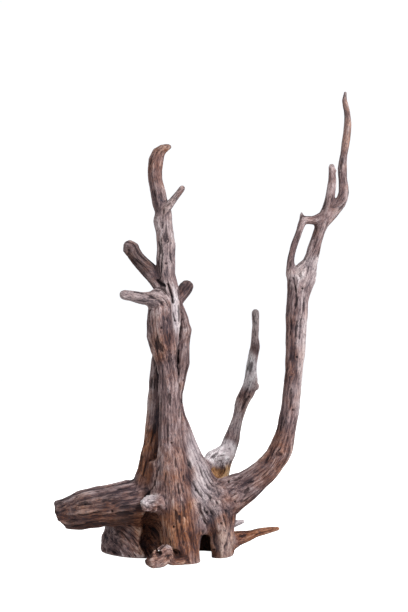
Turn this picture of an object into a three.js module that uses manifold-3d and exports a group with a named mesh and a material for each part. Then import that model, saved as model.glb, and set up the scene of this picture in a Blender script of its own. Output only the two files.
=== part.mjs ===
// A weathered piece of driftwood: a root crown standing on its root stubs, with a trunk of three
// grown-together stems, one long sweeping branch that forks round a slot, and a thin rear branch. It grew
// as one piece, so it is one solid. Every limb is a tube swept along a smooth line through its stations,
// and all of them are joined. Millimetres, +Z up, seen from the front along +Y.
import * as THREE from "three";
import { mergeVertices } from "three/addons/utils/BufferGeometryUtils.js";
import Module from "manifold-3d";

const wasm = await Module();
wasm.setup();

// Driving dimensions.
const STEM_SIDES = 16; // facets round the stump and the stems
const BRANCH_SIDES = 12;
const TWIG_SIDES = 8;
const RING_PITCH = 1.15; // rough distance from ring to ring of a limb, as a share of its mean radius
const LUMPS = 0.035; // how far a section departs from round, as a share of its radius
const TIP_SHOULDER = { ahead: 0.6, radius: 0.82 }; // a rounded end's two rings, as shares of the limb's radius
const TIP_END = { ahead: 1, radius: 0.45 };
const DOOR_TAPER = 3; // how much the doorway narrows from the floor to the spring of its arch
const DOOR_ARCH_ASIDE = 1; // how far the arch leans to the right
const DOOR_ARCH_INSET = 4; // how much smaller the arch's radius is than half the doorway's width
const FLOOR_REACH = 900; // half the width of the block that levels the feet
const FLOOR_DEPTH = 120;
const SAW_BLOCK = { thick: 60, wide: 160 };

// Each station is [x, y, z, radius, depth]. The depth is the section's size along the limb's flat way as a
// share of its radius, and 1 where it is left out.
const STEMS = {
  front_stem: [
    [-40, -40, -12, 36.5], [-45, -39, 43, 35.5], [-51, -38, 82, 34.5], [-57, -35, 122, 33],
    [-63, -33, 171, 29], [-67, -30, 220, 25], [-67, -25, 269, 22], [-68, -22, 318, 20.5],
    [-71, -20, 368, 20.5], [-75, -20, 394, 21], [-79, -20, 418, 26], [-85, -22, 447, 28],
    [-88, -25, 477, 25.5], [-88, -26, 495, 23],
  ],
  left_stem: [
    [-85, 12, 457, 17], [-90, 12, 407, 14], [-94, 10, 367, 14.5], [-94, 8, 316, 17],
    [-97, 8, 266, 19], [-102, 8, 216, 25], [-105, 10, 176, 28], [-113, 15, 130, 38],
  ],
  right_stem: [
    [-54, 22, 511, 10], [-48, 22, 481, 16], [-45, 22, 457, 20.5], [-47, 22, 426, 17.5],
    [-47, 22, 392, 18], [-54, 20, 360, 18], [-61, 18, 332, 18], [-63, 16, 312, 20], [-58, 14, 280, 23],
    [-52, 12, 252, 27], [-46, 10, 226, 31], [-40, 10, 196, 38], [-34, 10, 166, 47], [-24, 15, 120, 60],
  ],
  crown: [
    [-77, 0, 207, 44], [-66, 8, 156, 62], [-54, 22, 104, 74], [-44, 32, 62, 78], [-42, 36, 22, 74],
  ],
};

const BRANCHES = {
  upper_stem: [
    [-68, 0, 417, 18], [-62, -2, 467, 16], [-62, 2, 507, 15.5], [-69, 6, 537, 19], [-76, 8, 567, 17],
    [-78, 10, 597, 17], [-77, 11, 627, 16.5], [-79, 12, 654, 16.5], [-83, 13, 676, 18.5],
    [-82, 14, 694, 16], [-88, 14, 712, 15.5], [-92, 14, 734, 14.5], [-98, 14, 758, 13],
    [-99, 14, 778, 13.5], [-97, 13, 798, 14], [-91, 12, 813, 13], [-82, 11, 821, 10],
    [-73, 10, 824, 7], [-66, 9, 825, 3.5],
  ],
  sweep_branch: [
    [2, 10, 106, 52], [36, 5, 117, 44], [68, 0, 136, 32], [102, -8, 158, 25], [135, -15, 189, 24.5],
    [155, -20, 225, 22], [165, -22, 269, 19.5], [173, -20, 318, 18], [178, -15, 378, 18],
    [183, -8, 447, 19.5],
    [186, 0, 497, 19.5], [189, 3, 531, 22, 0.9], [196, 5, 561, 27, 0.7], [212, 6, 593, 15, 0.9],
    [219, 8, 617, 13.5], [226, 10, 637, 12], [233, 12, 658, 12], [243, 14, 680, 14], [257, 16, 694, 13.5],
    [274, 20, 712, 12.5], [282, 22, 733, 10.5], [280, 24, 759, 9], [279, 26, 783, 9.5], [282, 30, 810, 7.5],
    [287, 33, 841, 8], [291, 36, 875, 7.5], [289, 38, 902, 6], [285, 40, 922, 5], [287, 42, 940, 2.5],
  ],
  rear_branch: [
    [34, 74, 140, 17], [42, 78, 179, 15.5], [51, 80, 215, 16], [59, 84, 236, 15], [66, 88, 260, 12.5],
    [73, 92, 286, 11.5], [80, 96, 311, 13], [90, 98, 329, 14.5], [96, 100, 346, 14], [97, 102, 362, 11.5],
    [99, 104, 383, 10], [103, 107, 406, 10.5], [106, 110, 420, 10], [106, 112, 439, 7.5], [107, 115, 463, 7],
    [107, 118, 482, 7.5], [107, 119, 491, 7.5],
  ],
  left_root: [
    [-79, 25, 120, 48], [-129, 18, 115, 45], [-169, 14, 107, 43.5], [-209, 10, 101, 40.5],
    [-248, 6, 95, 36.5], [-276, 4, 90, 30.5], [-297, 2, 88, 25],
  ],
  rear_leg: [[-2, 62, 112, 48], [2, 88, 66, 35, 0.85], [0, 100, 30, 30, 0.85], [-1, 104, -14, 34, 0.8]],
  rear_left_leg: [
    [-90, 72, 112, 46], [-108, 100, 68, 35, 0.85], [-123, 122, 30, 28, 0.8], [-131, 130, -14, 31, 0.75],
  ],
  rear_root: [[-38, 80, 108, 38], [-44, 128, 104, 29], [-50, 165, 98, 24]],
};

const STUBS = {
  left_prong: [
    [-84, 12, 545, 17], [-105, 20, 571, 16.5], [-120, 26, 586, 15.5], [-134, 32, 600, 14.5],
    [-144, 36, 613, 14], [-149, 40, 622, 15.5],
  ],
  front_knuckle: [
    [-86, -24, 468, 25], [-88, -25, 486, 25.5], [-88, -26, 500, 24], [-90, -27, 512, 21.5],
    [-94, -29, 520, 18.5],
  ],
  front_prong: [
    [-86, -25, 516, 17], [-99, -31, 520, 17.5], [-111, -36, 519, 14], [-125, -42, 521, 11.5],
    [-143, -52, 525, 10], [-156, -58, 527, 9.5],
  ],
  rear_prong: [[-60, 25, 513, 16], [-48, 36, 527, 14], [-36, 46, 543, 14.5]],
  top_twig: [
    [-82, 4, 695, 10], [-72, 0, 704, 9], [-61, -3, 717, 7.5], [-50, -7, 731, 6.5], [-44, -9, 739, 6],
  ],
  fork_twig: [
    [246, 14, 690, 13], [251, 14, 710, 11], [255, 15, 734, 9], [258, 16, 758, 7.5], [257, 16, 784, 6.5],
  ],
  fork_loop: [
    [186, 2, 549, 17], [175, 0, 571, 11.5], [173, -2, 593, 7.5], [177, -4, 617, 7], [184, -4, 637, 7],
    [192, -3, 657, 7], [197, 0, 672, 8], [204, 3, 677, 9], [218, 8, 677, 9.5], [233, 12, 680, 12],
  ],
  fork_spur: [[197, 0, 677, 7], [195, -2, 690, 3]],
  fork_nub: [[259, 16, 776, 4], [264, 15, 777, 2.5]],
  rear_knob: [[92, 98, 340, 11], [104, 94, 339, 9]],
  rear_collar: [
    [51, 80, 205, 14.5], [33, 70, 206, 12.5], [14, 60, 197, 11], [2, 45, 176, 14], [-12, 35, 155, 20],
  ],
  collar_wall: [[0, 72, 130, 30], [14, 84, 165, 24], [28, 86, 192, 16]],
  right_toe: [
    [36, 40, 21, 20], [53, 42, 26, 18], [73, 44, 34, 14.5], [93, 46, 39, 10.5], [114, 48, 46, 8],
    [134, 50, 50, 6.5], [150, 52, 52, 4.5],
  ],
  rear_spike: [[30, 72, 48, 14], [64, 80, 58, 8], [80, 84, 62, 4.5]],
  bleached_stub: [[-70, -25, 118, 22], [-94, -52, 118, 19], [-106, -66, 117, 16.5], [-110, -71, 117, 14]],
};

// The ragged toe in front of the front stem's foot: a thin upright plate with a hole worn through it, whose
// foot runs back to the stem.
const FRONT_TOE = [
  [-111, -101, 12, 6, 0.8], [-99, -113.9, 9, 12, 0.68], [-87, -105, 18, 19, 0.42], [-77, -91, 23, 20, 0.5],
  [-67, -80, 14, 14, 0.65], [-58, -78, 7, 9, 0.9], [-44, -72, 7, 10],
];
const TOE_HOLE = { centre: [-88, -100, 29], half: [8.5, 18, 5.5] };

// The two front legs are buttresses. Each section is flat across its own way instead of from front to back.
const LEFT_LEG = [
  [-128, 45, 105, 54, 0.7], [-143, 57, 60, 66, 0.62], [-151, 59, 20, 74, 0.57], [-152, 59, -14, 73, 0.57],
];
const LEFT_LEG_FLAT = new THREE.Vector3(-0.69, -0.72, 0);
const RIGHT_LEG = [[22, 2, 115, 46], [30, -4, 73, 33, 0.95], [34, 14, 35, 29, 0.85], [36, 36, -14, 29, 0.75]];
const RIGHT_LEG_FLAT = new THREE.Vector3(0.87, -0.49, 0);
const FRONT_TO_BACK = new THREE.Vector3(0, 1, 0); // the flat way of every other limb

// Hollows, as ellipsoids: centre and half sizes.
const UNDER_CROWN = { centre: [-12, 40, -6], half: [50, 52, 70] };
const LEFT_RECESS = { centre: [-106, -28, 46], half: [27, 60, 56] };
const TOE_HOLLOW = { centre: [-60, -78, 22], half: [15, 20, 9] };
const COLLAR_HOLLOW = { centre: [30, 52, 172], half: [15, 22, 15.5] };
const DOORWAY = { left: -12, right: 16, height: 58, front: -90, back: 40 };
const ROOT_SAW_CUT = { at: [-282, 0, 68], tilt: 0.67 }; // the chamfer under the left root's end, in radians

// A manifold-3d solid of a closed three.js geometry.
function solid(geometry) {
  const bare = geometry.clone();
  bare.deleteAttribute("normal");
  bare.deleteAttribute("uv");
  const merged = mergeVertices(bare, 1e-3);
  const mesh = new wasm.Mesh({
    numProp: 3,
    vertProperties: new Float32Array(merged.attributes.position.array),
    triVerts: new Uint32Array(merged.index.array),
  });
  return new wasm.Manifold(mesh);
}

// Two more stations past the last one, which close a limb with a rounded end.
function withRoundTip(stations) {
  const [a, b] = stations.slice(-2).map(([x, y, z]) => new THREE.Vector3(x, y, z));
  const radius = stations.at(-1)[3];
  const ahead = b.clone().sub(a).normalize();
  const shoulder = b.clone().addScaledVector(ahead, radius * TIP_SHOULDER.ahead);
  const end = b.clone().addScaledVector(ahead, radius * TIP_END.ahead);
  return [...stations, [...shoulder, radius * TIP_SHOULDER.radius], [...end, radius * TIP_END.radius]];
}

// A limb: a cylinder's rings laid along the smooth line through the stations, each ring a lumpy ellipse.
function limb(stations, sides, flatWay = FRONT_TO_BACK) {
  const centres = stations.map(([x, y, z]) => new THREE.Vector3(x, y, z));
  const spine = new THREE.CatmullRomCurve3(centres, false, "centripetal");
  const girths = stations.map(([, , , radius, depth = 1]) => new THREE.Vector3(radius, depth, 0));
  const girth = new THREE.CatmullRomCurve3(girths, false, "catmullrom", 0.5);
  const meanRadius = girths.reduce((sum, { x }) => sum + x, 0) / girths.length;
  const spans = stations.length - 1;
  const ringsPerSpan = Math.max(1, Math.round(spine.getLength() / (RING_PITCH * meanRadius * spans)));
  const rings = spans * ringsPerSpan; // so that every station has a ring of its own
  const frames = ringFrames(spine, rings);
  const turn = (2 * Math.PI) / sides;
  const fullness = Math.sqrt(turn / Math.sin(turn)); // gives the many-sided section the area of the round one
  const geometry = new THREE.CylinderGeometry(1, 1, 1, sides, rings);
  const position = geometry.attributes.position;
  for (let i = 0; i < position.count; i++) {
    const ring = Math.round((position.getY(i) + 0.5) * rings);
    const { along, centre, normal, side } = frames[ring];
    const { x: radius, y: depth } = girth.getPoint(along);
    const angle = Math.atan2(position.getZ(i), position.getX(i));
    const lump = LUMPS * (Math.sin(2 * angle + 0.9 * ring) + Math.sin(3 * angle - 0.6 * ring));
    const lumpy = radius * fullness * (1 + lump);
    const offset = normal.clone().multiplyScalar(position.getX(i) * lumpy);
    offset.addScaledVector(side, position.getZ(i) * lumpy);
    offset.addScaledVector(flatWay, offset.dot(flatWay) * (depth - 1));
    offset.add(centre);
    position.setXYZ(i, offset.x, offset.y, offset.z);
  }
  return solid(geometry);
}

// The centre and the two directions of each ring along a spine. They are carried forward from ring to ring,
// so that the rings don't twist.
function ringFrames(spine, rings) {
  const frames = [];
  let normal = new THREE.Vector3(0, 1, 0);
  if (Math.abs(spine.getTangent(0).y) > 0.9) normal = new THREE.Vector3(1, 0, 0);
  for (let ring = 0; ring <= rings; ring++) {
    const along = ring / rings;
    const ahead = spine.getTangent(along);
    normal = normal.clone().addScaledVector(ahead, -normal.dot(ahead)).normalize();
    const side = new THREE.Vector3().crossVectors(normal, ahead);
    frames.push({ along, centre: spine.getPoint(along), normal, side });
  }
  return frames;
}

function ellipsoid({ centre, half }) {
  return solid(new THREE.SphereGeometry(1, 20, 12).rotateX(Math.PI / 2).scale(...half).translate(...centre));
}

// The arched way in under the crown: a round-headed outline, extruded from front to back.
function doorway({ left, right, height, front, back }) {
  const radius = (right - left) / 2;
  const archMiddle = (left + right) / 2 + DOOR_ARCH_ASIDE;
  const outline = new THREE.Shape();
  outline.moveTo(left, -radius);
  outline.lineTo(right, -radius);
  outline.lineTo(right - DOOR_TAPER, height - radius);
  outline.absarc(archMiddle, height - radius, radius - DOOR_ARCH_INSET, 0, Math.PI, false);
  outline.lineTo(left, -radius);
  const tunnel = { depth: back - front, bevelEnabled: false, curveSegments: 6 };
  return solid(new THREE.ExtrudeGeometry(outline, tunnel).rotateX(Math.PI / 2).translate(0, back, 0));
}

// Everything below the level that the feet stand on.
function floorBlock() {
  const block = new THREE.BoxGeometry(2 * FLOOR_REACH, 2 * FLOOR_REACH, FLOOR_DEPTH);
  return solid(block.translate(0, 0, -FLOOR_DEPTH / 2));
}

// A block whose face takes the corner off the left root's end.
function sawCut({ at, tilt }) {
  const { thick, wide } = SAW_BLOCK;
  const block = new THREE.BoxGeometry(thick, wide, wide).translate(-thick / 2, 0, 0);
  return solid(block.rotateY(-tilt).translate(...at));
}

const limbsOf = (table, sides) => Object.values(table).map((stations) => limb(stations, sides));
const joined = (solids) => solids.reduce((whole, next) => whole.add(next));

const { front_stem, ...otherStems } = STEMS;
const { rear_branch, ...otherBranches } = BRANCHES;
const roundStubs = Object.values(STUBS).map((stations) => limb(withRoundTip(stations), TWIG_SIDES));
const rearBranch = limb(withRoundTip(rear_branch), BRANCH_SIDES);
const leftLeg = limb(LEFT_LEG, STEM_SIDES, LEFT_LEG_FLAT);
const rightLeg = limb(RIGHT_LEG, BRANCH_SIDES, RIGHT_LEG_FLAT).subtract(doorway(DOORWAY));
const frontToe = limb(withRoundTip(FRONT_TOE), BRANCH_SIDES).subtract(ellipsoid(TOE_HOLE));

// The body is hollowed first, so that the front stem and the right leg stand whole at the hollows' edges.
const body = joined([...limbsOf(otherStems, STEM_SIDES), ...limbsOf(otherBranches, BRANCH_SIDES), leftLeg])
  .subtract(ellipsoid(UNDER_CROWN))
  .subtract(ellipsoid(LEFT_RECESS))
  .subtract(doorway(DOORWAY));
const frontStem = limb(front_stem, STEM_SIDES).subtract(ellipsoid(TOE_HOLLOW));
const whole = joined([body, frontStem, rightLeg, frontToe, rearBranch, ...roundStubs])
  .subtract(ellipsoid(COLLAR_HOLLOW))
  .subtract(sawCut(ROOT_SAW_CUT))
  .subtract(floorBlock());

const largest = whole.decompose().sort((a, b) => b.volume() - a.volume())[0];
const { vertProperties, triVerts } = largest.getMesh();
const geometry = new THREE.BufferGeometry();
geometry.setAttribute("position", new THREE.BufferAttribute(vertProperties, 3));
geometry.setIndex(new THREE.BufferAttribute(triVerts, 1));

// The origin is under the middle of the bounding box, at the level of the feet.
const box = new THREE.Box3().setFromBufferAttribute(geometry.attributes.position);
const middle = box.getCenter(new THREE.Vector3());
geometry.translate(-middle.x, -middle.y, -box.min.z);
geometry.computeVertexNormals();

const wood = new THREE.MeshStandardMaterial({ color: 0x6f5a4e, roughness: 0.85, metalness: 0 });
const driftwood = new THREE.Mesh(geometry, wood);
driftwood.name = "driftwood";

export default new THREE.Group().add(driftwood);
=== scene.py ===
# A weathered piece of driftwood, standing on its root stubs on a pale studio floor.
# Metres, +Z up, seen from the front along +Y.
import math

import bmesh
import bpy
import numpy as np
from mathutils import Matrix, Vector, noise


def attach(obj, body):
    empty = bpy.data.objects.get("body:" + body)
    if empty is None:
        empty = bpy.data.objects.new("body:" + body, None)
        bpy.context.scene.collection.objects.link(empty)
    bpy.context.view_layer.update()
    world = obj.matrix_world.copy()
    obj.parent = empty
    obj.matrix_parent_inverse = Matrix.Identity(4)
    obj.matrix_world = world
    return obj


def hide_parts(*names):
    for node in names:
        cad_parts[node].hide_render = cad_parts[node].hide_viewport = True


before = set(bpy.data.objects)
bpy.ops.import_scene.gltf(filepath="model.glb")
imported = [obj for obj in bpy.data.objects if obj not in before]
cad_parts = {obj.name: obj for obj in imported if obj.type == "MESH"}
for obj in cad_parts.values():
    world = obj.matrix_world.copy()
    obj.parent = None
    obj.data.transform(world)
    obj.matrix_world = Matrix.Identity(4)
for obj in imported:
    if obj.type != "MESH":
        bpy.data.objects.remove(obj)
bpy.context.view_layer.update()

# --- The studio ---
# A round sheet of white paper under the wood, in a white room. Both look brighter than they light, so that
# three soft lights shape the wood: a strong one at the front right, a weak one at the left and one behind.
PAPER_RADIUS = 7.0
PAPER_GLOW = 1.1  # how bright the paper looks to the camera
ROOM_LIGHT = 0.30  # how strongly the room lights the wood
ROOM_LOOK = 1.1  # how bright the room looks to the camera
CAMERA_PLACE = (0.001, -3.024, 0.505)
CAMERA_LENS = 88.2


def linear(hex_code):
    """The linear colour, with alpha, of an sRGB hex value."""
    parts = [int(hex_code[i : i + 2], 16) / 255 for i in (1, 3, 5)]
    return tuple(c / 12.92 if c <= 0.04045 else ((c + 0.055) / 1.055) ** 2.4 for c in parts) + (1.0,)


def add(tree, kind, settings=None, links=None):
    """A new node, with its settings and what feeds its inputs: another node's output, or a plain value."""
    node = tree.nodes.new("ShaderNode" + kind)
    for name, value in (settings or {}).items():
        setattr(node, name, value)
    for name, value in (links or {}).items():
        if isinstance(value, bpy.types.NodeSocket):
            tree.links.new(value, node.inputs[name])
        else:
            node.inputs[name].default_value = value
    return node


sheet = bmesh.new()
bmesh.ops.create_circle(sheet, cap_ends=True, radius=PAPER_RADIUS, segments=64)
paper_mesh = bpy.data.meshes.new("paper_sheet")
sheet.to_mesh(paper_mesh)
sheet.free()
floor = bpy.data.objects.new("paper_sheet", paper_mesh)
bpy.context.collection.objects.link(floor)

# Matt white paper, overexposed.
paper = bpy.data.materials.new("white_paper")
paper.use_nodes = True
paper_face = paper.node_tree.nodes["Principled BSDF"]
paper_face.inputs["Base Color"].default_value = linear("#cdcccb")
paper_face.inputs["Roughness"].default_value = 0.95
paper_face.inputs["Emission Color"].default_value = linear("#ffffff")
seen = add(paper.node_tree, "LightPath").outputs["Is Camera Ray"]
glow = add(paper.node_tree, "Math", {"operation": "MULTIPLY"}, {0: seen, 1: PAPER_GLOW}).outputs[0]
paper.node_tree.links.new(glow, paper_face.inputs["Emission Strength"])
paper_mesh.materials.append(paper)

scene = bpy.context.scene
scene.view_settings.view_transform = "Standard"
room = bpy.data.worlds.new("room")
room.use_nodes = True
walls = room.node_tree.nodes["Background"]
walls.inputs["Color"].default_value = linear("#f6f7fa")
seen = add(room.node_tree, "LightPath").outputs["Is Camera Ray"]
glow = add(room.node_tree, "MapRange", {}, {"Value": seen, "To Min": ROOM_LIGHT, "To Max": ROOM_LOOK})
room.node_tree.links.new(glow.outputs["Result"], walls.inputs["Strength"])
scene.world = room

# Name, place, what it points at, width, power in watts.
LAMPS = [
    ("key_light", (2.9, -2.9, 2.7), (-0.02, 0.0, 0.3), 1.35, 272),
    ("fill_light", (-2.4, -2.2, 1.0), (-0.05, 0.0, 0.25), 1.8, 17),
    ("back_light", (-2.2, 3.0, 2.4), (0.0, 0.0, 0.4), 1.6, 75),
]
for name, place, target, width, power in LAMPS:
    lamp = bpy.data.lights.new(name, "AREA")
    lamp.size = width
    lamp.energy = power
    holder = bpy.data.objects.new(name, lamp)
    holder.location = place
    holder.rotation_euler = (Vector(target) - Vector(place)).to_track_quat("-Z", "Y").to_euler()
    bpy.context.collection.objects.link(holder)

lens = bpy.data.cameras.new("camera")
lens.lens = CAMERA_LENS
camera = bpy.data.objects.new("camera", lens)
camera.location = CAMERA_PLACE
camera.rotation_euler = (math.pi / 2, 0, 0)
bpy.context.collection.objects.link(camera)
scene.camera = camera

# --- The grain of each limb ---
# Wood grain runs along every limb and parts round its knots. These are the limbs' middle lines, in
# millimetres from the point where the stump grew: x, y, z and the limb's radius there.
STUMP_MIDDLE = Vector((-0.00099, 0.02406, 0))  # the middle of the solid's box from that point, in metres
LIMB_STEP = 0.006  # distance between two places on a limb's middle line
THINNEST = 0.002  # a limb counts as no thinner than this
NO_LIMBS_WAY = (0.3, 0.9, 0.1)  # a direction that no limb starts in
CURVE_PARTS = 40  # places worked out between two points of a middle line
LIMBS = {
    "front_stem": [
        (-40, -40, -12, 36), (-57, -35, 122, 33), (-67, -30, 220, 25), (-69, -21, 330, 20.5),
        (-76, -20, 400, 22), (-85, -22, 447, 27), (-88, -25, 490, 24), (-92, -28, 514, 20),
        (-106, -34, 520, 16), (-124, -42, 521, 12), (-160, -60, 527, 9.5),
    ],
    "left_stem": [
        (-113, 15, 130, 38), (-102, 8, 216, 25), (-94, 8, 316, 17), (-90, 12, 407, 14),
        (-80, 12, 470, 15),
    ],
    "right_stem": [
        (-42, 8, 200, 36), (-52, 12, 252, 27), (-63, 16, 312, 20), (-50, 22, 380, 18),
        (-46, 22, 450, 20), (-54, 22, 511, 10),
    ],
    "upper_stem": [
        (-68, 0, 417, 18), (-62, 2, 507, 15.5), (-76, 8, 567, 17), (-79, 12, 654, 16.5),
        (-84, 14, 694, 17), (-98, 14, 758, 13), (-97, 13, 798, 14), (-82, 11, 821, 10),
        (-66, 9, 825, 3.5),
    ],
    "sweep": [
        (34, 4, 118, 34), (68, 0, 136, 32), (135, -15, 189, 24.5), (165, -22, 269, 19.5),
        (178, -15, 378, 18), (186, 0, 497, 19.5), (196, 5, 561, 27), (219, 8, 617, 13.5),
        (243, 14, 680, 14), (274, 20, 712, 12.5), (282, 22, 733, 10.5), (279, 26, 783, 9.5),
        (291, 36, 875, 7.5), (285, 40, 922, 5), (287, 42, 940, 2.5),
    ],
    "rear_branch": [
        (25, 74, 110, 26), (42, 78, 179, 15.5), (59, 84, 236, 15), (73, 92, 286, 11.5),
        (90, 98, 329, 14.5), (97, 102, 362, 11.5), (106, 110, 420, 10), (107, 119, 491, 7.5),
    ],
    "left_root": [(-60, 25, 122, 50), (-169, 14, 107, 43.5), (-248, 6, 95, 36.5), (-297, 2, 88, 25)],
    "left_leg": [(-205, 75, 92, 50), (-172, 62, 62, 55), (-135, 40, 38, 56), (-96, 14, -4, 58)],
    "right_leg": [
        (-46, 8, 232, 31), (-26, 4, 180, 42), (-4, -2, 140, 48), (18, 0, 105, 44), (30, 0, 73, 32),
        (37, 24, -14, 30),
    ],
    "rear_leg": [(-2, 62, 120, 48), (2, 88, 66, 33), (-1, 104, -14, 32)],
    "rear_left_leg": [(-90, 72, 120, 46), (-108, 100, 68, 33), (-131, 130, -14, 28)],
    "rear_root": [(-36, 60, 110, 40), (-44, 128, 104, 29), (-50, 165, 98, 24)],
    "left_prong": [(-80, 10, 540, 17), (-105, 20, 571, 16.5), (-134, 32, 600, 15), (-149, 40, 622, 15)],
    "rear_prong": [(-60, 25, 513, 16), (-36, 46, 543, 14.5)],
    "top_twig": [(-82, 4, 695, 10), (-61, -3, 717, 7.5), (-44, -9, 739, 6)],
    "fork_twig": [(246, 14, 690, 13), (255, 15, 734, 9), (257, 16, 784, 6.5)],
    "fork_loop": [
        (186, 2, 549, 17), (175, 0, 571, 11.5), (173, -2, 593, 7.5), (184, -4, 637, 7),
        (197, 0, 672, 8), (218, 8, 677, 9.5), (233, 12, 680, 12),
    ],
    "rear_collar": [(51, 80, 205, 14.5), (33, 70, 206, 12.5), (14, 60, 197, 11), (-12, 35, 155, 20)],
    "right_toe": [(36, 40, 21, 20), (73, 44, 34, 14.5), (114, 48, 46, 8), (150, 52, 52, 4.5)],
    "rear_spike": [(30, 72, 48, 14), (64, 80, 58, 8), (80, 84, 62, 4.5)],
    "bleached_stub": [(-75, -25, 120, 20), (-94, -52, 122, 17), (-112, -74, 121, 13)],
    "front_toe": [
        (-111, -101, 12, 8), (-88, -105, 18, 18), (-77, -91, 23, 19), (-58, -78, 7, 10), (-40, -72, 8, 11),
    ],
}


def catmull_rom(points, step):
    """Evenly spaced places on the smooth curve through the points; columns past the third follow along."""
    points = np.array(points, float)
    padded = np.vstack([2 * points[0] - points[1], points, 2 * points[-1] - points[-2]])
    t = np.linspace(0, 1, CURVE_PARTS, endpoint=False)[:, None]
    spans = []
    for a, b, c, d in zip(padded, padded[1:], padded[2:], padded[3:]):
        square, cube = 2 * a - 5 * b + 4 * c - d, 3 * b - a - 3 * c + d
        spans.append(0.5 * (2 * b + (c - a) * t + square * t**2 + cube * t**3))
    fine = np.vstack([*spans, points[-1:]])
    along = np.concatenate([[0], np.cumsum(np.linalg.norm(np.diff(fine[:, :3], axis=0), axis=1))])
    even = np.linspace(0, along[-1], max(4, round(along[-1] / step)))
    return np.stack([np.interp(even, along, column) for column in fine.T], 1), even


def limb_frames(points):
    """A limb's places, tangents, two sideways directions that don't twist, distances along and radii."""
    places, along = catmull_rom(np.array(points) / 1000, LIMB_STEP)
    centres = places[:, :3] - np.array(STUMP_MIDDLE)
    tangents = np.gradient(centres, axis=0)
    tangents /= np.linalg.norm(tangents, axis=1)[:, None]
    sideways = np.cross(tangents[0], NO_LIMBS_WAY)
    firsts = []
    for tangent in tangents:
        sideways = sideways - tangent * sideways.dot(tangent)
        sideways /= np.linalg.norm(sideways)
        firsts.append(sideways)
    firsts = np.array(firsts)
    return centres, tangents, firsts, np.cross(tangents, firsts), along, np.maximum(places[:, 3], THINNEST)


limbs = {name: limb_frames(points) for name, points in LIMBS.items()}

# --- The wood's shape ---
# One solid piece of old hardwood. Sea and sand have rounded it and left the hard grain standing in ridges, so
# the limbs run into each other in soft hollows, and every surface is fluted along the grain.
NODE = "driftwood"
VOXEL = 0.0021
FILLET_PASSES = 34
FILLING = 0.9  # how fast a crotch fills up
EVENING = 0.35  # how fast the faces spread evenly along the skin
# Where the trunk and its left side begin, from none of it to all of it, in metres. The trunk's foot and the
# crown's top are heights, the trunk's top is a height with its sign turned, and the other two lead leftwards.
TRUNK_FOOT = (0.19, 0.27)
TRUNK_TOP = (-0.60, -0.53)
TRUNK_RIGHT = (-0.02, 0.0)
TRUNK_LEFT = (0.075, 0.09)
CROWN_TOP = (0.15, 0.25)
SEAM_UNFILLED = 0.85  # how much less the seams between the trunk's stems fill up
LEFT_REFILLED = 0.8  # how much of that the left side gets back
ROUNDING_PASSES = 10
SHRINK_AND_GROW = (0.6, -0.62)  # each rounding pass, so that the wood keeps its thickness
SHARE_REACH = 0.32  # how much further off than the nearest limb, in radii, another limb shapes the grain
LIMB_REACH = 3.2  # how far off a limb is looked at, in its largest radii
OUT_OF_REACH = 9.0  # the distance, in radii, that stands for any further limb
USUAL_RADIUS = 0.02  # the radius where no limb is in reach
LEAST_MIXED = 0.01  # a limb with a smaller share leaves no mark
KNOT_REACH = 7  # how far the grain bends round a knot, in knot radii
KNOT_PARTING = 1.6  # how strongly it bends
MOST_TRIANGLES = 186000
HOLLOW_PASSES = 26
HOLLOW_DEPTH = 0.0035  # a dip this far below its surroundings counts as fully hollow

# The relief, in metres: the length and width of the flutes, and of the furrows and slits between them.
FLUTE = (0.20, 0.017)
FURROW = (0.085, 0.0072)
SLIT = (0.034, 0.0056)
LUMP = 0.055
SMALL_LUMP = 0.024
FLUTE_HEIGHT = 0.0036
FLUTE_HEIGHT_LOST = 0.0022  # how much lower the flutes are above the crown
LUMP_HEIGHT = 0.0026
RIDGE_HEIGHT = 0.0006
FURROW_DEPTH = 0.0013
SLIT_DEPTH = 0.0028
FULL_RELIEF_RADIUS = 0.022  # thinner limbs have shallower relief
LEAST_RELIEF = 0.22  # of the full relief, on the thinnest
FURROW_BAND = 0.17  # how far from zero the noise still makes a furrow
SLIT_FROM, SLIT_TO = 0.30, 0.46  # the noise values where a slit begins and where it is full
KNOT_RIM, KNOT_DIP = 0.10, 0.34  # how high a knot's rim is and how deep its middle, in knot radii

# Knots and the scars of lost twigs, in the limbs' millimetres: place and radius.
KNOTS = [
    (-152, 28, 618, 6), (-99, -46, 420, 2.6), (192, -14, 565, 5), (172, -36, 369, 4), (150, -42, 212, 5),
    (-75, -6, 636, 4), (46, 10, 56, 4.5), (60, 100, 236, 4.5), (-60, 104, 120, 8), (-45, 42, 400, 5),
    (-180, 55, 110, 7), (196, 24, 540, 5), (-90, 30, 230, 6),
]
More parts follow.
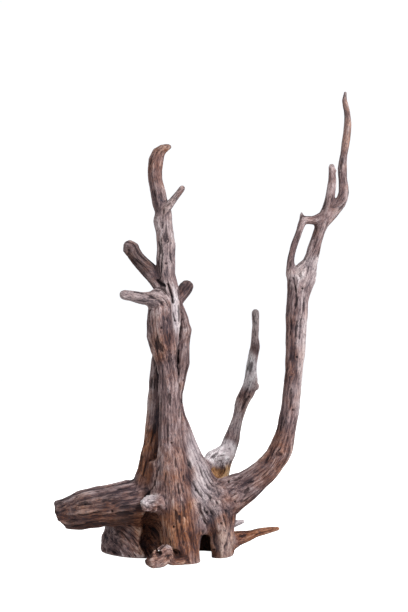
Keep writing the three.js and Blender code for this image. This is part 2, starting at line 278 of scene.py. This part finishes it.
# Cracks, and gaps where stems have grown against each other: points along each, half its width and its depth.
CRACKS = [
    ([(-72, -12, 549), (-69, -14, 538), (-64, -15, 525), (-62, -15, 512)], 3.6, 8),
    ([(-63, -15, 490), (-59, -15, 480), (-55, -14, 470)], 2.8, 5),
    ([(-93, -8, 556), (-86, -11, 549), (-79, -13, 545)], 5.0, 6),
    ([(-86, -6, 640), (-83, -7, 610), (-85, -8, 580), (-88, -8, 560)], 2.4, 2.5),
    ([(-46, 0, 535), (-45, -4, 470), (-47, -4, 440), (-53, -6, 410), (-54, -6, 385), (-49, -8, 345),
      (-46, -10, 295)], 3.0, 6),
    ([(-97, -8, 405), (-94, -8, 370), (-93, -8, 335)], 2.0, 2),
    ([(-136, -52, 533), (-112, -50, 529), (-95, -50, 520)], 1.8, 2),
    ([(-80, 0, 700), (-84, 0, 660)], 2.2, 2),
    ([(178, -16, 560), (184, -16, 530), (181, -18, 505)], 2.2, 2),
    ([(193, -20, 480), (189, -24, 440)], 2.0, 2),
    ([(-118, -30, 128), (-98, -34, 150), (-88, -36, 190)], 3.0, 4),
    ([(-48, -70, 95), (-40, -74, 40)], 2.4, 2.5),
    ([(-22, -56, 205), (-8, -52, 150), (2, -50, 95)], 2.6, 2.5),
    ([(96, 88, 352), (88, 84, 330)], 1.8, 2), ([(-30, -62, 150), (-22, -66, 80)], 2.0, 2),
]
CRACK_LEEWAY = 0.16  # how much a gap from front to back counts against one across
CRACK_WANDER = 0.0016
CRACK_FLOOR = 0.0003  # this near its line, a crack has its full depth
# Holes that insects have bored into the front: places to the side and up, in the limbs' millimetres.
INSECT_HOLES = [
    (49, 155), (6, 97), (19, 18), (34, 75), (62, 118), (-30, 190), (-16, 142), (-64, 236), (-60, 74),
    (-182, 98), (-236, 112), (-84, 462), (-40, 356), (176, 300), (184, 404), (196, 540), (-76, 590),
    (92, 318),
]
HOLE_RADIUS = 0.0021
HOLE_DEPTH = 0.0035
BROAD_WANDER, FINE_WANDER = 0.030, 0.011  # the sizes of the bays in a patch's edge, in metres
# Painted shade under the crown, beside the front foot and in the recess at the left foot: place, half sizes
# and darkness.
SHADED_RECESSES = [
    ((-8, 44, 8), (56, 50, 66), 0.95), ((-62, -76, 22), (17, 20, 12), 0.7),
    ((-100, 12, 60), (26, 24, 46), 0.3),
]
# Where wood has broken off, rotted or been sawn, and is left rough: place, half sizes and roughness.
BROKEN_PLACES = [
    ((-108, -62, 117), (30, 32, 26), 5.0), ((-196, 40, 30), (36, 60, 42), 3.5),
    ((-88, -104, 20), (30, 22, 32), 0.8), ((-292, 2, 85), (16, 48, 42), 2.5),
    ((-149, 40, 620), (20, 20, 18), 2.5), ((-50, 160, 98), (34, 24, 34), 3.0),
    ((20, 66, 205), (48, 36, 22), 3.0),
]


def positions(mesh):
    flat_values = np.empty(len(mesh.vertices) * 3)
    mesh.vertices.foreach_get("co", flat_values)
    return flat_values.reshape(-1, 3)


def move_to(mesh, points):
    mesh.vertices.foreach_set("co", np.ascontiguousarray(points, dtype=np.float64).ravel())
    mesh.update()


def normals_of(mesh):
    flat_values = np.empty(len(mesh.vertices) * 3)
    mesh.vertex_normals.foreach_get("vector", flat_values)
    return flat_values.reshape(-1, 3)


def edge_ends(mesh):
    flat_values = np.empty(len(mesh.edges) * 2, dtype=np.int64)
    mesh.edges.foreach_get("vertices", flat_values)
    return flat_values.reshape(-1, 2)


def neighbour_mean(values, ends, count):
    """The mean of each point's neighbours, for one value or several in columns."""
    a, b = ends.T
    degree = np.maximum(np.bincount(np.concatenate([a, b]), minlength=count), 1)
    columns = values.reshape(count, -1)
    sums = []
    for column in columns.T:
        from_ends = np.bincount(a, weights=column[b], minlength=count)
        from_starts = np.bincount(b, weights=column[a], minlength=count)
        sums.append(from_ends + from_starts)
    return (np.stack(sums, 1) / degree[:, None]).reshape(values.shape)


def with_modifier(piece, kind, **settings):
    """The piece's mesh after one modifier has been applied to it."""
    modifier = piece.modifiers.new(kind.lower(), kind)
    for name, value in settings.items():
        setattr(modifier, name, value)
    graph = bpy.context.evaluated_depsgraph_get()
    graph.update()
    result = bpy.data.meshes.new_from_object(piece.evaluated_get(graph))
    piece.modifiers.clear()
    piece.data = result
    return result


def smooth_ramp(values, low, high):
    t = np.clip((values - low) / (high - low), 0, 1)
    return t * t * (3 - 2 * t)


def limb_places(points, normals):
    """For each limb and point: its share of the grain there, and the place in the limb's own grain, metres
    along it and the two ways across. Also, for each point, the limbs' radius, mixed by the shares."""
    count = len(points)
    ratios = np.full((len(limbs), count), OUT_OF_REACH)
    places = np.zeros((len(limbs), count, 3))
    radii_at = np.full((len(limbs), count), USUAL_RADIUS)
    for row, (centres, tangents, firsts, seconds, along, radii) in enumerate(limbs.values()):
        reach = LIMB_REACH * radii.max()
        near = np.flatnonzero(((points > centres.min(0) - reach) & (points < centres.max(0) + reach)).all(1))
        near_points = points[near]
        gaps = (centres**2).sum(1) - 2 * near_points @ centres.T
        spot = gaps.argmin(1).astype(float)
        for _ in range(2):
            low = np.clip(np.floor(spot), 0, len(along) - 2).astype(int)
            part = np.clip(spot - low, 0, 1)[:, None]
            mixed = [a[low] * (1 - part) + a[low + 1] * part for a in (centres, tangents, firsts, seconds)]
            ahead = ((near_points - mixed[0]) * mixed[1]).sum(1)
            spot = np.clip(low + part[:, 0] + ahead / (along[1] - along[0]), 0, len(along) - 1)
        low = np.clip(np.floor(spot), 0, len(along) - 2).astype(int)
        part = np.clip(spot - low, 0, 1)[:, None]
        centre, tangent, first, second = [
            a[low] * (1 - part) + a[low + 1] * part for a in (centres, tangents, firsts, seconds)
        ]
        offset = near_points - centre
        ahead = (offset * tangent).sum(1)
        radius = np.interp(spot, np.arange(len(along)), radii)
        ratios[row, near] = np.linalg.norm(offset, axis=1) / radius
        offset -= ahead[:, None] * tangent
        around = np.cross(tangent, normals[near])
        for *knot, knot_radius in KNOTS:
            middle = np.array(knot) / 1000 - np.array(STUMP_MIDDLE)
            size = knot_radius / 1000
            to_knot = near_points - middle
            far = np.linalg.norm(to_knot, axis=1)
            close = np.flatnonzero(far < KNOT_REACH * size)
            ahead_of = (to_knot[close] * tangent[close]).sum(1)
            beside = (to_knot[close] * around[close]).sum(1)
            parting = size**2 / (ahead_of**2 + beside**2 + 0.4 * size**2)
            parting *= smooth_ramp(-far[close], -KNOT_REACH * size, -size)
            offset[close] -= around[close] * (KNOT_PARTING * beside * parting)[:, None]
        places[row, near, 0] = np.interp(spot, np.arange(len(along)), along)
        places[row, near, 0] += np.clip(ahead, -0.03, 0.03) * ((spot <= 0) | (spot >= len(along) - 1))
        places[row, near, 1] = (offset * first).sum(1)
        places[row, near, 2] = (offset * second).sum(1)
        radii_at[row, near] = radius
    shares = smooth_ramp(1 - (ratios - ratios.min(0)) / SHARE_REACH, 0, 1)
    shares /= shares.sum(0)
    return shares, places, (shares * radii_at).sum(0)


def grain_noise(shares, places, along, across, seed):
    """Streaks of noise, so long and so wide in metres, that follow each limb and mix where limbs meet."""
    total = np.zeros(shares.shape[1])
    for row in range(len(shares)):
        near = np.flatnonzero(shares[row] > LEAST_MIXED)
        spots = places[row, near] / (along, across, across) + (seed * 7.1, row * 13.7, seed * 3.3)
        total[near] += shares[row, near] * [noise.noise(spot) for spot in spots.tolist()]
    return total


def plain_noise(points, size, seed):
    return np.array([noise.noise(spot) for spot in (points / size + seed * 5.7).tolist()])


def patches(spots, places_of, seed):
    """How strongly the patches cover each place, with wandering edges."""
    wander = 0.28 * plain_noise(places_of, BROAD_WANDER, seed)
    wander += 0.16 * plain_noise(places_of, FINE_WANDER, seed + 1)
    cover = np.zeros(len(places_of))
    for middle, half, strength in spots:
        offset = places_of - (np.array(middle) / 1000 - np.array(STUMP_MIDDLE))
        far = np.linalg.norm(offset / (np.array(half) / 1000), axis=1) + wander
        cover = np.maximum(cover, strength * smooth_ramp(-far, -1.25, -0.45))
    return np.clip(cover, 0, 1)


# The blank: the solid's surface as one even skin of small faces.
blank = bmesh.new()
blank.from_mesh(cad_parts[NODE].data)
bmesh.ops.remove_doubles(blank, verts=blank.verts, dist=1e-5)
blank_mesh = bpy.data.meshes.new("blank")
blank.to_mesh(blank_mesh)
blank.free()
wood = bpy.data.objects.new("driftwood_grown", blank_mesh)
bpy.context.collection.objects.link(wood)
skin = with_modifier(wood, "REMESH", mode="VOXEL", voxel_size=VOXEL)

# Fillets: the crotches between limbs are filled outwards, but the seams between the trunk's stems stay deep.
# Then the facets are rounded off.
points = positions(skin)
ends = edge_ends(skin)
count = len(points)
above_foot = smooth_ramp(points[:, 2], *TRUNK_FOOT)
below_top = smooth_ramp(-points[:, 2], *TRUNK_TOP)
in_trunk = above_foot * below_top * smooth_ramp(-points[:, 0], *TRUNK_RIGHT)
at_left = smooth_ramp(-points[:, 0], *TRUNK_LEFT)
filling = FILLING - (SEAM_UNFILLED - LEFT_REFILLED * at_left) * in_trunk
for _ in range(FILLET_PASSES):
    normals = normals_of(skin)
    pull = neighbour_mean(points, ends, count) - points
    outward = (pull * normals).sum(1)
    along_skin = EVENING * (pull - normals * outward[:, None])
    points = points + along_skin + normals * (filling * np.maximum(outward, 0))[:, None]
    move_to(skin, points)
for strength in SHRINK_AND_GROW * ROUNDING_PASSES:
    points = points + strength * (neighbour_mean(points, ends, count) - points)
move_to(skin, points)

# The grain, laid out over the skin.
normals = normals_of(skin)
shares, places, radii_here = limb_places(points, normals)
size_share = np.clip(radii_here / FULL_RELIEF_RADIUS, LEAST_RELIEF, 1.0)

flutes = grain_noise(shares, places, *FLUTE, 1)
furrows = grain_noise(shares, places, *FURROW, 2)
slits = grain_noise(shares, places, *SLIT, 3)
above_crown = smooth_ramp(points[:, 2], *CROWN_TOP)
lumps = plain_noise(points, LUMP, 1) + 0.5 * plain_noise(points, SMALL_LUMP, 2)
furrow_depth = np.exp(-((furrows / FURROW_BAND) ** 2))
slits_and_painted_shade = 0.75 * smooth_ramp(slits, SLIT_FROM, SLIT_TO)

height = (FLUTE_HEIGHT - FLUTE_HEIGHT_LOST * above_crown) * flutes + LUMP_HEIGHT * lumps
height += RIDGE_HEIGHT - FURROW_DEPTH * furrow_depth
height -= SLIT_DEPTH * slits_and_painted_shade
height *= size_share
broken = plain_noise(points, 0.011, 6) + 0.6 * plain_noise(points, 0.005, 7)
for middle, half, roughness in BROKEN_PLACES:
    height += roughness / 1000 * broken * patches([(middle, half, 1.0)], points, 41)

knot_face = np.zeros(count)
ragged = 0.9 * plain_noise(points, 0.007, 4)
for *knot, knot_radius in KNOTS:
    size = knot_radius / 1000
    far = np.linalg.norm(points - (np.array(knot) / 1000 - np.array(STUMP_MIDDLE)), axis=1) / size + ragged
    knot_face = np.maximum(knot_face, smooth_ramp(-far, -0.95, -0.25))
    rim = KNOT_RIM * np.exp(-((far - 1.5) ** 2) / 0.3)
    height += size * (rim - KNOT_DIP * smooth_ramp(-far, -1.0, -0.2))

# Cracks are also painted dark along their lines: the dark of the cracks, and painted shade in the gaps
# between stems.
for path, half_width, depth in CRACKS:
    path = np.array(path) / 1000 - np.array(STUMP_MIDDLE)
    gap = np.full(count, 1.0)
    for start, end in zip(path, path[1:]):
        span = end - start
        share = np.clip((points - start) @ span / (span @ span), 0, 1)
        away = (points - start - share[:, None] * span) * (1, CRACK_LEEWAY, 1)
        gap = np.minimum(gap, np.linalg.norm(away, axis=1))
    gap += CRACK_WANDER * broken
    cleft = smooth_ramp(-gap, -half_width / 1000, -CRACK_FLOOR) * smooth_ramp(-normals[:, 1], -0.2, 0.4)
    height -= depth / 1000 * cleft
    slits_and_painted_shade = np.maximum(slits_and_painted_shade, cleft)

facing_front = smooth_ramp(-normals[:, 1], 0.1, 0.5)
# The holes are also painted dark: painted shade in them.
for aside, up in INSECT_HOLES:
    from_hole = np.hypot(points[:, 0] - aside / 1000 + STUMP_MIDDLE.x, points[:, 2] - up / 1000)
    bored = smooth_ramp(-from_hole, -1.3 * HOLE_RADIUS, -0.6 * HOLE_RADIUS) * facing_front
    height -= HOLE_DEPTH * bored
    slits_and_painted_shade = np.maximum(slits_and_painted_shade, bored)

# Painted shade in the recesses, put into the same dark as the slits.
for middle, half, darkness in SHADED_RECESSES:
    slits_and_painted_shade = np.maximum(slits_and_painted_shade, patches([(middle, half, darkness)], points, 61))

# The feet stay flat where they stand.
on_floor = smooth_ramp(-points[:, 2], -0.004, -0.0005)
height *= 1 - on_floor
points = points + normals * height[:, None]
points[:, 2] = np.maximum(points[:, 2], 0)
move_to(skin, points)
relief = 0.5 + 0.6 * flutes - 0.34 * (furrow_depth - 0.35)

# Thin the skin to what the shape needs, then read the broad hollows off it, to paint shade into them.
skin.attributes.new("relief", "FLOAT", "POINT").data.foreach_set("value", relief.astype(np.float32))
skin.attributes.new("slit_and_recess_shade", "FLOAT", "POINT").data.foreach_set("value", slits_and_painted_shade.astype(np.float32))
skin.attributes.new("knot", "FLOAT", "POINT").data.foreach_set("value", knot_face.astype(np.float32))
triangles = 2 * len(skin.polygons)
skin = with_modifier(wood, "DECIMATE", ratio=min(1.0, MOST_TRIANGLES / triangles))

# Where the wood was too thin for the even skin, crumbs of it are left loose. Only the one big piece is kept.
whole = bmesh.new()
whole.from_mesh(skin)
unreached = set(whole.verts)
islands = []
while unreached:
    island = [unreached.pop()]
    for vert in island:
        beyond = {edge.other_vert(vert) for edge in vert.link_edges} & unreached
        unreached -= beyond
        island.extend(beyond)
    islands.append(island)
islands.sort(key=len)
for crumb in islands[:-1]:
    bmesh.ops.delete(whole, geom=crumb, context="VERTS")
whole.to_mesh(skin)
whole.free()

points = positions(skin)
ends = edge_ends(skin)
count = len(points)
normals = normals_of(skin)
smoothed = points.copy()
for _ in range(HOLLOW_PASSES):
    smoothed = 0.5 * (smoothed + neighbour_mean(smoothed, ends, count))
hollow_shade = np.clip(((smoothed - points) * normals).sum(1) / HOLLOW_DEPTH, -1, 1)

# --- The wood's colour ---
# Where the sun has bleached it, where rot and damp have turned it warm brown, and where it is dark, with
# painted
# light and shade among these: the pale patches also light spots that the lamps leave in shade, the amber
# brightens the collar's hollow as if lit, and the dark patches also paint the shade on the left sides, in the
# recess and under the crown. Each patch is a place in the limbs' millimetres, its half sizes and its
# strength.
WARM_PATCHES = [
    ((-45, -62, 50), (50, 55, 85), 1.0), ((-104, -15, 55), (48, 70, 60), 1.0),
    ((105, 48, 40), (75, 34, 30), 1.4), ((145, -15, 200), (55, 40, 70), 0.6),
    ((182, -10, 400), (30, 40, 110), 0.35), ((-108, -64, 118), (28, 28, 22), 0.35),
    ((-90, 14, 790), (34, 30, 60), 0.5), ((-84, -38, 425), (34, 34, 34), 0.55),
    ((38, 0, 50), (38, 50, 66), 1.0), ((-45, -55, 170), (40, 40, 70), 0.5),
    ((0, 60, 20), (90, 70, 60), 0.9), ((60, 0, 110), (60, 50, 30), 0.4),
    ((-112, -4, 205), (30, 50, 85), 0.9), ((-200, -10, 80), (110, 50, 40), 0.5),
    ((290, 34, 860), (24, 24, 90), 0.3), ((84, 92, 300), (24, 24, 40), 0.2),
    ((107, 116, 470), (22, 26, 52), 0.3), ((-88, -100, 16), (36, 30, 40), 0.6),
]
# The collar's hollow: amber wood, painted bright as if lit.
LIT_AMBER_PATCHES = [((33, 60, 168), (22, 34, 20), 1.5)]
# Pale, sun-bleached wood, and painted light on the right leg and up the rear branch, where the lamps leave
# them in shade.
BLEACHED_AND_LIT_PATCHES = [
    ((24, 68, 206), (38, 34, 30), 2.4), ((-114, -70, 130), (24, 26, 18), 0.75),
    ((-4, -30, 165), (20, 45, 75), 0.6), ((-20, -10, 218), (18, 34, 50), 0.6),
    ((-132, -46, 523), (55, 30, 22), 0.25), ((-72, -4, 630), (26, 26, 110), 0.2),
    ((-58, -16, 490), (11, 22, 55), 0.9), ((205, -2, 575), (42, 30, 40), 0.35),
    ((196, -22, 420), (14, 34, 130), 0.35), ((94, 90, 374), (18, 34, 40), 1.1),
    ((107, 116, 470), (22, 26, 52), 0.45), ((66, 84, 272), (20, 26, 50), 0.25),
    ((62, 80, 58), (36, 22, 16), 0.7), ((16, -24, 120), (18, 50, 40), 0.2),
    ((40, 0, 50), (26, 40, 60), 0.3), ((186, -10, 330), (22, 30, 60), 0.3),
]
# Dark wood, and painted shade on the left sides, in the recess at the left foot and under the crown.
DARK_AND_SHADED_PATCHES = [
    ((-215, 0, 84), (130, 70, 54), 1.0), ((-150, 20, 35), (75, 75, 75), 0.1),
    ((-104, 2, 375), (20, 40, 50), 0.4), ((-130, 26, 600), (46, 36, 46), 1.0),
    ((-42, 42, 538), (36, 36, 36), 0.8), ((-98, -10, 60), (22, 60, 55), 0.5),
    ((215, 8, 620), (20, 24, 60), 0.35), ((262, 18, 700), (30, 24, 26), 0.5),
    ((-20, 40, 20), (60, 60, 60), 0.8), ((288, 38, 905), (24, 24, 50), 0.6),
    ((-74, 8, 827), (34, 24, 26), 1.0), ((286, 34, 830), (26, 26, 110), 0.5),
    ((-52, -6, 728), (20, 20, 24), 0.35), ((236, 12, 665), (30, 24, 40), 0.35),
    ((104, 110, 418), (20, 26, 14), 0.6), ((-40, 14, 420), (16, 30, 80), 0.3),
]
FIBRE = (0.024, 0.0013)  # the finest streaks, in metres, drawn as coarse as they need to be to show
FLECK = (0.0068, 0.0015)  # the dark flecks between the ridges, in metres
FLECK_FROM, FLECK_TO = 0.54, 0.63  # the noise values where a fleck begins and where it is full
FLECK_DARKNESS = 0.68
# How dark slits, cracks and holes are painted, partly their own dark wood and partly painted shade, and the
# recesses' painted shade.
SLIT_AND_SHADE_DARKNESS = 0.92
KNOT_DARKNESS = 0.45
BLOTCHES = 18.0  # per metre: broad light and dark patches
STAINS = 34.0  # per metre: patches of warmer wood
GRAIN_RISE = 0.0012  # how far the streaks stand out, in metres
FURROW_ROUGHNESS = 0.92
RIDGE_ROUGHNESS = 0.78


def paint(name, values):
    kind = "FLOAT_VECTOR" if values.ndim == 2 else "FLOAT"
    layer = skin.attributes.new(name, kind, "POINT")
    layer.data.foreach_set("vector" if values.ndim == 2 else "value", values.astype(np.float32).ravel())


# Painted shade: the hollows are darkened in the colour.
paint("hollow_shade", hollow_shade)
paint("warm", patches(WARM_PATCHES, points, 11))
# Painted light: the collar's hollow is brightened with amber, as if lit.
paint("lit_amber", patches(LIT_AMBER_PATCHES, points, 51))
# Pale cover: bleached wood, and painted light in places.
paint("bleached_and_lit", patches(BLEACHED_AND_LIT_PATCHES, points, 21))
# Dark cover: dark wood, and painted shade in places.
paint("dark", patches(DARK_AND_SHADED_PATCHES, points, 31))

# Limbs that touch go in different layers of grain, so that each layer holds one limb's grain at any place.
LEAST_SHARE = 0.02
FEW_POINTS = 12  # limbs that have no more points than this in common don't count as touching
LIMB_SHIFT = 0.37  # metres across the grain, so that no two limbs have the same streaks
shares, places, radii_here = limb_places(points, normals)
present = (shares > LEAST_SHARE).astype(np.float32)
touching = present @ present.T > FEW_POINTS
layers = []
for row in np.argsort(-shares.sum(1)):
    free = [layer for layer in layers if not touching[row, layer].any()]
    if free:
        free[0].append(row)
    else:
        layers.append([row])
for number, rows in enumerate(layers):
    strongest = shares[rows].argmax(0)
    here = places[rows][strongest, np.arange(count)]
    here[:, 1] += LIMB_SHIFT * strongest
    paint(f"grain_{number}", here)
    paint(f"share_{number}", shares[rows].sum(0))

# Bare hardwood, greyed by sun and salt: soft wood worn away in dark streaks between pale, dry ridges. It has
# no varnish, so it is matt, and a little less matt on the worn ridges.
weathered = bpy.data.materials.new("bare_weathered_hardwood")
weathered.use_nodes = True
tree = weathered.node_tree
face = tree.nodes["Principled BSDF"]
face.inputs["Specular IOR Level"].default_value = 0.25

fibre_sum = 0.0
fleck_sum = 0.0
for number in range(len(layers)):
    grain = add(tree, "Attribute", {"attribute_name": f"grain_{number}"}).outputs["Vector"]
    share = add(tree, "Attribute", {"attribute_name": f"share_{number}"}).outputs["Fac"]
    fine = (1 / FIBRE[0], 1 / FIBRE[1], 1 / FIBRE[1])
    fine_place = add(tree, "Mapping", {}, {"Vector": grain, "Scale": fine}).outputs["Vector"]
    fibre = add(tree, "TexNoise", {}, {"Vector": fine_place, "Scale": 1.0, "Detail": 3.0, "Roughness": 0.65})
    fibre_sum = add(
        tree, "Math", {"operation": "MULTIPLY_ADD"}, {0: fibre.outputs["Fac"], 1: share, 2: fibre_sum}
    ).outputs[0]
    broad = (1 / FLECK[0], 1 / FLECK[1], 1 / FLECK[1])
    broad_place = add(tree, "Mapping", {}, {"Vector": grain, "Scale": broad}).outputs["Vector"]
    fleck = add(
        tree, "TexNoise", {},
        {"Vector": broad_place, "Scale": 1.0, "Detail": 2.0, "Roughness": 0.55, "Distortion": 0.6},
    )
    fleck_sum = add(
        tree, "Math", {"operation": "MULTIPLY_ADD"}, {0: fleck.outputs["Fac"], 1: share, 2: fleck_sum}
    ).outputs[0]

painted = {}
for name in ("relief", "slit_and_recess_shade", "knot", "hollow_shade", "warm", "lit_amber", "bleached_and_lit", "dark"):
    painted[name] = add(tree, "Attribute", {"attribute_name": name}).outputs["Fac"]
place = add(tree, "TexCoord").outputs["Object"]
cloudy = {"Vector": place, "Detail": 3.0, "Roughness": 0.6}
blotch = add(tree, "TexNoise", {}, {**cloudy, "Scale": BLOTCHES}).outputs["Fac"]
stain = add(tree, "TexNoise", {}, {**cloudy, "Scale": STAINS}).outputs["Fac"]
stained = add(tree, "Math", {"operation": "MULTIPLY_ADD"}, {0: stain, 1: 1.7, 2: -0.85}).outputs[0]
warm_or_stained = {0: painted["warm"], 1: stained}
painted["warm"] = add(tree, "Math", {"operation": "ADD", "use_clamp": True}, warm_or_stained).outputs[0]

# How weathered each spot is, from 0 in the furrows to 1 on the driest ridges, lowered in the hollows as
# painted shade: what counts, and how much.
weights = [(fibre_sum, 1.35), (painted["relief"], 0.46), (blotch, 0.75), (painted["hollow_shade"], -0.35)]
tone = -0.68
for measure, weight in weights:
    tone = add(tree, "Math", {"operation": "MULTIPLY_ADD"}, {0: measure, 1: weight, 2: tone}).outputs[0]
tone = add(tree, "Math", {"operation": "SUBTRACT"}, {0: tone, 1: 0.12}).outputs[0]

# Each kind of surface, in five steps from its dark furrows to its dry ridges.
STEPS = (0.0, 0.28, 0.5, 0.73, 1.0)
TONES = {
    "grey_brown": ("#2a2128", "#4c3c3f", "#745d5c", "#978180", "#c2b2b2"),
    "dark_brown": ("#1e1619", "#35282a", "#4b3a39", "#64514f", "#857270"),
    "warm_brown": ("#20110e", "#4a2a1f", "#764833", "#9b6b50", "#c29e8a"),
    "lit_amber": ("#54361f", "#835c3c", "#a67d57", "#c6a17b", "#e0c8a8"),
    "bleached_grey": ("#6e6267", "#a99ca1", "#c8bcbf", "#dfd7d9", "#f0eced"),
}
shades = {}
for name, steps in TONES.items():
    ramp = add(tree, "ValToRGB", {"label": name}, {"Fac": tone})
    band = ramp.color_ramp
    while len(band.elements) < len(STEPS):
        band.elements.new(0.5)
    for element, at, hex_code in zip(band.elements, STEPS, steps):
        element.position = at
        element.color = linear(hex_code)
    shades[name] = ramp.outputs["Color"]

colour = shades["grey_brown"]
covers = {"dark_brown": "dark", "warm_brown": "warm", "lit_amber": "lit_amber", "bleached_grey": "bleached_and_lit"}
for name, cover in covers.items():
    layer = {0: painted[cover], 6: colour, 7: shades[name]}
    colour = add(tree, "Mix", {"data_type": "RGBA"}, layer).outputs[2]

fleck_mask = add(
    tree, "MapRange", {"interpolation_type": "SMOOTHSTEP"},
    {"Value": fleck_sum, "From Min": FLECK_FROM, "From Max": FLECK_TO, "To Max": FLECK_DARKNESS},
).outputs["Result"]
# Slits, cracks and holes are partly dark wood and partly painted shade. The recesses are painted shade.
slit_and_recess_shade_mask = add(tree, "Math", {"operation": "MULTIPLY"}, {0: painted["slit_and_recess_shade"], 1: SLIT_AND_SHADE_DARKNESS}).outputs[0]
knot_mask = add(tree, "Math", {"operation": "MULTIPLY"}, {0: painted["knot"], 1: KNOT_DARKNESS}).outputs[0]
for mask, shade in ((fleck_mask, "#292c39"), (slit_and_recess_shade_mask, "#241a1c"), (knot_mask, "#2b2022")):
    colour = add(tree, "Mix", {"data_type": "RGBA"}, {0: mask, 6: colour, 7: linear(shade)}).outputs[2]
tree.links.new(colour, face.inputs["Base Color"])

dryness = add(
    tree, "MapRange", {},
    {"Value": tone, "From Min": 0.0, "From Max": 1.0, "To Min": FURROW_ROUGHNESS, "To Max": RIDGE_ROUGHNESS},
).outputs["Result"]
tree.links.new(dryness, face.inputs["Roughness"])
rise = add(tree, "Math", {"operation": "MULTIPLY_ADD"}, {0: fleck_mask, 1: -0.8, 2: fibre_sum}).outputs[0]
bump = add(tree, "Bump", {}, {"Height": rise, "Strength": 0.8, "Distance": GRAIN_RISE})
tree.links.new(bump.outputs["Normal"], face.inputs["Normal"])

skin.materials.clear()
skin.materials.append(weathered)
skin.polygons.foreach_set("use_smooth", [True] * len(skin.polygons))
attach(wood, "root")
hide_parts(NODE)
